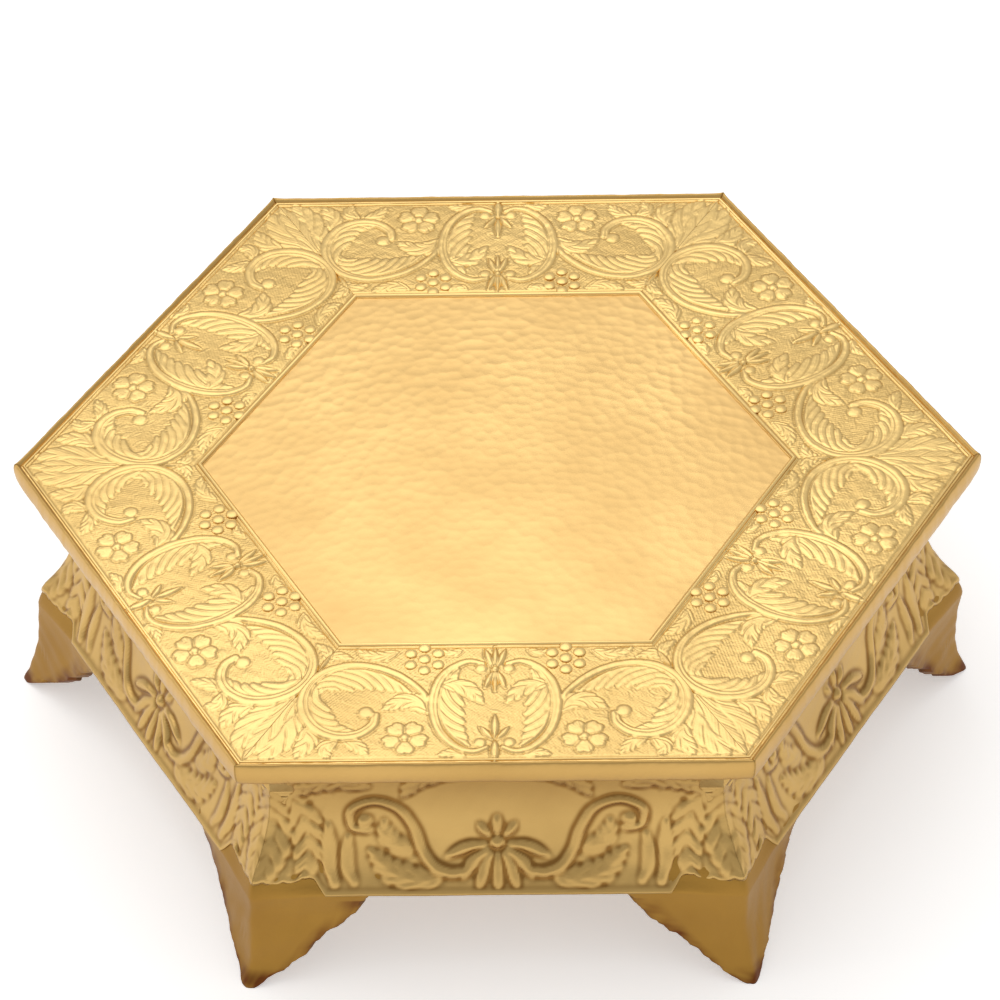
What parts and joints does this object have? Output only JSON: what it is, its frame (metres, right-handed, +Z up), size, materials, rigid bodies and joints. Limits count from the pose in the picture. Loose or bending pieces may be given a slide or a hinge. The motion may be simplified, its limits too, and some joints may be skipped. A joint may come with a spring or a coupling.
{
  "type": "tray table",
  "caption": "Low hexagonal embossed brass tray table: hammered centre, repousse scroll border, rolled rim, flared skirt and cast corner feet.",
  "frame": {"origin": "on the ground, under the middle of the top", "axes": "+Z up; +X through one corner of the hexagon; +Y through the middle of a flat side"},
  "size_m": [0.4654, 0.4032, 0.1433],
  "materials": {
    "embossed_brass": "satin, gold lacquered, embossed and hammered",
    "rim_brass": "satin, gold lacquered, rolled",
    "skirt_brass": "satin, gold lacquered, embossed",
    "cast_brass": "cast, gold lacquered, worn to red brass at the edges",
    "plywood": "bare plywood",
    "screw_steel": "zinc plated"
  },
  "bodies": {
    "root": {"top_sheet": "embossed_brass", "backing_board": "plywood", "rim_length_1": "rim_brass", "rim_length_2": "rim_brass", "rim_length_3": "rim_brass", "rim_length_4": "rim_brass", "rim_length_5": "rim_brass", "rim_length_6": "rim_brass", "skirt_panel_1": "skirt_brass", "skirt_panel_2": "skirt_brass", "skirt_panel_3": "skirt_brass", "skirt_panel_4": "skirt_brass", "skirt_panel_5": "skirt_brass", "skirt_panel_6": "skirt_brass", "corner_foot_1": "cast_brass", "corner_foot_2": "cast_brass", "corner_foot_3": "cast_brass", "corner_foot_4": "cast_brass", "corner_foot_5": "cast_brass", "corner_foot_6": "cast_brass", "foot_screws": "screw_steel", "flange_screws": "screw_steel", "rim_pins": "screw_steel"}
  },
  "joints": []
}
